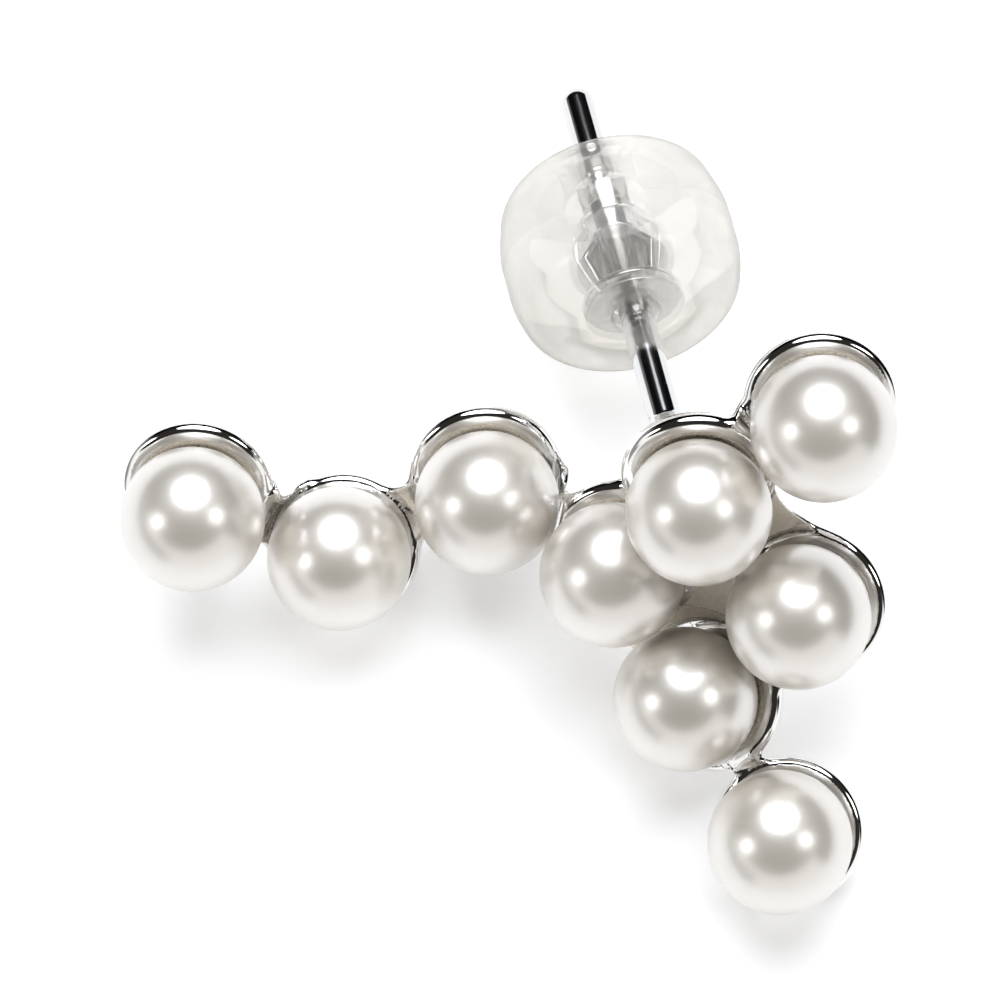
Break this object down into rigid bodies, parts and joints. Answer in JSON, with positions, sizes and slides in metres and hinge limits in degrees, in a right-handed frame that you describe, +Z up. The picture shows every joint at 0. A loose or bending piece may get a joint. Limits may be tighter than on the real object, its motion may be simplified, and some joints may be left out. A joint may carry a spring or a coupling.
{
  "type": "pearl cluster earring",
  "caption": "Stud earring with round white pearls in a bent cluster of polished metal cups, with a straight post and a clear disc ear nut.",
  "frame": {"origin": "on the table, below the middle of the earring's bounding box as it lies unworn", "axes": "+Z up from the table, +Y the way the post points along the table, +X towards the short arm of the cluster"},
  "size_m": [0.0182, 0.0198, 0.0093],
  "materials": {
    "bright_metal": "mirror polished, rhodium plated",
    "pearl": "pearl lustre",
    "clear_silicone": "clear, smooth",
    "insert_steel": "bright"
  },
  "bodies": {
    "stud": {"cup_frame": "bright_metal", "pearl_1": "pearl", "pearl_2": "pearl", "pearl_3": "pearl", "pearl_4": "pearl", "pearl_5": "pearl", "pearl_6": "pearl", "pearl_7": "pearl", "pearl_8": "pearl", "pearl_9": "pearl"},
    "ear_nut": {"nut_silicone": "clear_silicone", "nut_insert": "insert_steel"}
  },
  "joints": [
    {"name": "nut_slide", "type": "slide", "parent": "stud", "child": "ear_nut", "axis": [-0.2429, 0.8585, -0.4517], "range_m": [-0.0023, 0.0055]}
  ]
}
